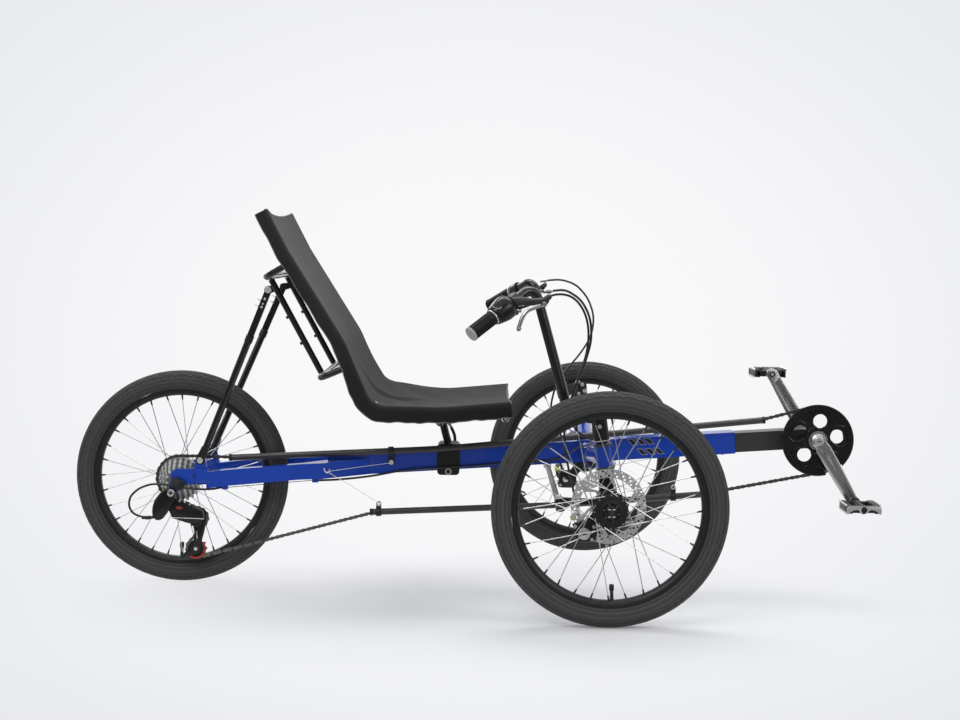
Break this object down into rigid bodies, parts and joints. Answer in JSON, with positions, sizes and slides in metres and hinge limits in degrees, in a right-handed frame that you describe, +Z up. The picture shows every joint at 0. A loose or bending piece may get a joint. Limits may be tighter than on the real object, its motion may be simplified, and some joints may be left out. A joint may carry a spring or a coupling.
{
  "type": "recumbent trike",
  "caption": "Low recumbent trike: blue box-tube frame, sling seat with hoops, under-seat chain tubes, disc-braked front wheels that steer, and cranks on a boom ahead.",
  "frame": {"origin": "under the middle of the trike's box, on the ground that its three tyres stand on", "axes": "+X forward to the cranks, +Y to the rider's left, +Z up"},
  "size_m": [1.8485, 0.854, 0.8694],
  "materials": {
    "blue_paint": "glossy blue paint",
    "black_paint": "satin black paint",
    "black_tube": "glossy black tube",
    "black_metal": "satin black",
    "black_plastic": "matt black",
    "pedal_black": "matt black body",
    "guide_tube": "dark grey, slightly clear",
    "seat_fabric": "woven grey mesh",
    "tyre": "black rubber",
    "grip_rubber": "black rubber",
    "rim_black": "black anodised",
    "spoke_steel": "bright",
    "disc_steel": "ground",
    "bright_steel": "nickel plated",
    "dark_steel": "dark plated",
    "chain_steel": "oiled",
    "aluminium": "polished",
    "lever_grey": "grey body",
    "tie_rod_grey": "grey",
    "cable_housing": "black housing"
  },
  "bodies": {
    "frame": {"main_tube": "blue_paint", "boom": "black_paint", "cross_member": "blue_paint", "rear_stays": "blue_paint", "rear_axle": "dark_steel", "seat_rails": "black_tube", "seat_cross_tubes": "black_tube", "seat_hoops": "black_tube", "seat_back_rods": "black_tube", "seat_braces": "black_tube", "seat_clamp": "black_metal", "seat_sling": "seat_fabric", "upper_chain_tube": "guide_tube", "lower_chain_tube": "guide_tube", "chain_tube_clips": "black_plastic", "chain": "chain_steel", "derailleur": "black_metal", "shift_cable": "cable_housing"},
    "rear_wheel": {"rear_tyre": "tyre", "rear_rim": "rim_black", "rear_spokes": "spoke_steel", "rear_hub": "black_metal", "cassette": "bright_steel"},
    "right_wheel": {"right_tyre": "tyre", "right_rim": "rim_black", "right_spokes": "spoke_steel", "right_hub": "black_metal", "right_disc": "disc_steel"},
    "left_wheel": {"left_tyre": "tyre", "left_rim": "rim_black", "left_spokes": "spoke_steel", "left_hub": "black_metal", "left_disc": "disc_steel"},
    "right_steering": {"right_knuckle": "black_metal", "right_stem": "black_metal", "right_handlebar": "black_tube", "right_grip": "grip_rubber", "right_brake_lever": "lever_grey", "right_caliper": "black_metal", "right_brake_cable": "cable_housing", "right_shifter": "black_plastic"},
    "left_steering": {"left_knuckle": "black_metal", "left_stem": "black_metal", "left_handlebar": "black_tube", "left_grip": "grip_rubber", "left_brake_lever": "lever_grey", "left_caliper": "black_metal", "left_brake_cable": "cable_housing"},
    "tie_rod": {"tie_rod": "tie_rod_grey"},
    "crank": {"crank_arms": "aluminium", "chainring": "dark_steel", "chain_guard": "black_plastic"},
    "right_pedal": {"right_pedal": "pedal_black"},
    "left_pedal": {"left_pedal": "pedal_black"}
  },
  "joints": [
    {"name": "rear_wheel_spin", "type": "hinge", "parent": "frame", "child": "rear_wheel", "pos_m": [-0.67475, 0, 0.2495], "axis": [0, 1, 0], "continuous": true},
    {"name": "right_steering", "type": "hinge", "parent": "frame", "child": "right_steering", "pos_m": [0.28925, -0.312, 0.3525], "axis": [-0.1444, 0, 0.9895], "range_deg": [-30, 30]},
    {"name": "left_steering", "type": "hinge", "parent": "frame", "child": "left_steering", "pos_m": [0.28925, 0.312, 0.3525], "axis": [-0.1444, 0, 0.9895], "range_deg": [-30, 30]},
    {"name": "right_wheel_spin", "type": "hinge", "parent": "right_steering", "child": "right_wheel", "pos_m": [0.29825, -0.387, 0.2495], "axis": [0, 1, 0], "continuous": true},
    {"name": "left_wheel_spin", "type": "hinge", "parent": "left_steering", "child": "left_wheel", "pos_m": [0.29825, 0.387, 0.2495], "axis": [0, 1, 0], "continuous": true},
    {"name": "tie_rod_swing", "type": "hinge", "parent": "right_steering", "child": "tie_rod", "pos_m": [0.19799, -0.312, 0.2377], "axis": [-0.1444, 0, 0.9895], "range_deg": [-30, 30]},
    {"name": "crank_spin", "type": "hinge", "parent": "frame", "child": "crank", "pos_m": [0.80425, 0, 0.35694], "axis": [0, 1, 0], "continuous": true},
    {"name": "right_pedal_spin", "type": "hinge", "parent": "crank", "child": "right_pedal", "pos_m": [0.88525, -0.1, 0.21664], "axis": [0, 1, 0], "continuous": true},
    {"name": "left_pedal_spin", "type": "hinge", "parent": "crank", "child": "left_pedal", "pos_m": [0.72325, 0.1, 0.49723], "axis": [0, 1, 0], "continuous": true}
  ],
  "couplings": [
    {"joint": "left_steering", "follows": "right_steering", "ratio": 1},
    {"joint": "tie_rod_swing", "follows": "right_steering", "ratio": -1}
  ]
}
